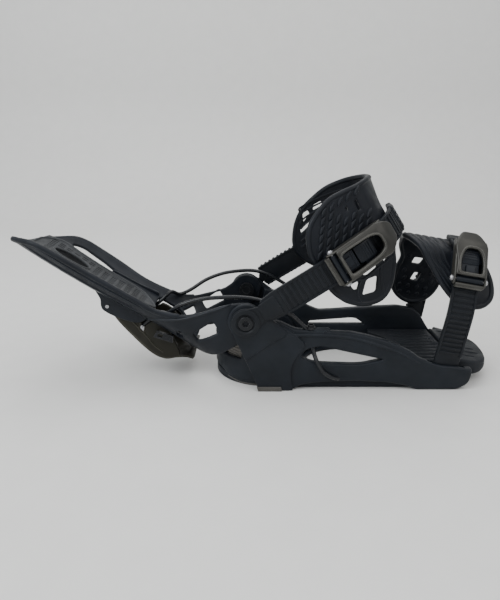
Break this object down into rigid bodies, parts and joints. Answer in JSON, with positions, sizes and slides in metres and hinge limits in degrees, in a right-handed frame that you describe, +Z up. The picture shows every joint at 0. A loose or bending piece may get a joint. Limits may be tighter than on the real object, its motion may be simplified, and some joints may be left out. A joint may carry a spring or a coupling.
{
  "type": "snowboard binding",
  "caption": "Rear-entry snowboard binding with a reclining highback, rear locking lever with cables, ratchet ankle and toe straps and a sliding toe ramp.",
  "frame": {"origin": "centre of the mounting-disc seat on the board plane, the underside of the base", "axes": "+X toward the toe, -Y the side with the buckles, +Z up from the board"},
  "size_m": [0.4734, 0.1381, 0.2003],
  "materials": {
    "nylon_frame": "moulded glass-filled nylon, fine matt texture",
    "nylon_dark": "moulded nylon, satin",
    "strap_rubber": "soft matt elastomer",
    "eva_foam": "taupe-grey ribbed foam",
    "pad_grey": "grey matt moulded pad",
    "bronze_plate": "dark bronze satin paint",
    "gunmetal": "warm gunmetal grey, satin",
    "steel": "zinc-plated steel",
    "black_steel": "black-oxide steel",
    "cable_sheath": "smooth black sheath",
    "footbed": "dark grey moulded footbed"
  },
  "bodies": {
    "chassis": {"baseplate": "nylon_frame", "heel_eva_pads": "eva_foam", "heel_liner": "eva_foam", "heel_footbed": "footbed", "toe_footbed": "footbed", "pivot_bolts": "black_steel", "pivot_nuts": "steel", "pivot_bushes": "nylon_dark", "toe_strap_bolts": "steel", "toe_strap_nut": "steel", "cable_sockets": "black_steel", "front_cable_near": "cable_sheath", "front_cable_far": "cable_sheath"},
    "toe_ramp": {"toe_ramp": "footbed", "toe_ramp_screws": "steel"},
    "highback": {"highback_shell": "nylon_dark", "highback_pad": "pad_grey", "highback_pad_screws": "black_steel", "lever_pin": "steel", "rear_cable_near": "cable_sheath", "rear_cable_far": "cable_sheath", "lever_link": "nylon_dark"},
    "lock_lever": {"lock_lever": "bronze_plate", "cable_barrels": "steel"},
    "ankle_strap": {"ankle_ladder": "strap_rubber", "ankle_far_strap": "strap_rubber", "ankle_pad": "strap_rubber", "ankle_strap_screws": "steel", "ankle_buckle_base": "nylon_dark", "ankle_buckle_axle": "steel", "ankle_pawl_pin": "steel"},
    "ankle_lever": {"ankle_buckle_lever": "gunmetal"},
    "ankle_release": {"ankle_pawl": "nylon_dark", "ankle_pawl_spring": "steel"},
    "toe_strap": {"toe_ladder": "strap_rubber", "toe_far_strap": "strap_rubber", "toe_cap": "strap_rubber", "toe_strap_screws": "steel", "toe_buckle_base": "nylon_dark", "toe_buckle_axle": "steel", "toe_pawl_pin": "steel"},
    "toe_lever": {"toe_buckle_lever": "gunmetal"},
    "toe_release": {"toe_pawl": "nylon_dark", "toe_pawl_spring": "steel"}
  },
  "joints": [
    {"name": "highback_fold", "type": "hinge", "parent": "chassis", "child": "highback", "pos_m": [-0.104, 0, 0.069], "axis": [0, 1, 0], "range_deg": [0, 75]},
    {"name": "lever_swing", "type": "hinge", "parent": "highback", "child": "lock_lever", "pos_m": [-0.23756, 0, 0.07567], "axis": [0, 1, 0], "range_deg": [0, 55]},
    {"name": "ankle_strap_swing", "type": "hinge", "parent": "chassis", "child": "ankle_strap", "pos_m": [-0.104, 0, 0.069], "axis": [0, -1, 0], "range_deg": [0, 25]},
    {"name": "ankle_lever_lift", "type": "hinge", "parent": "ankle_strap", "child": "ankle_lever", "pos_m": [-0.02062, -0.06654, 0.1211], "axis": [0.5299, 0, -0.848], "range_deg": [0, 65]},
    {"name": "ankle_release_press", "type": "hinge", "parent": "ankle_strap", "child": "ankle_release", "pos_m": [0.00336, -0.05635, 0.13609], "axis": [0.5299, 0, -0.848], "range_deg": [0, 10], "stiffness_Nm_per_rad": 0.3},
    {"name": "toe_strap_swing", "type": "hinge", "parent": "chassis", "child": "toe_strap", "pos_m": [0.084, 0, 0.014], "axis": [0, 1, 0], "range_deg": [0, 15]},
    {"name": "toe_lever_lift", "type": "hinge", "parent": "toe_strap", "child": "toe_lever", "pos_m": [0.10034, -0.05398, 0.10667], "axis": [0.9848, 0, -0.1736], "range_deg": [0, 65]},
    {"name": "toe_release_press", "type": "hinge", "parent": "toe_strap", "child": "toe_release", "pos_m": [0.10366, -0.04287, 0.12548], "axis": [0.9848, 0, -0.1736], "range_deg": [0, 10], "stiffness_Nm_per_rad": 0.3},
    {"name": "toe_ramp_slide", "type": "slide", "parent": "chassis", "child": "toe_ramp", "axis": [1, 0, 0], "range_m": [0, 0.009]}
  ]
}
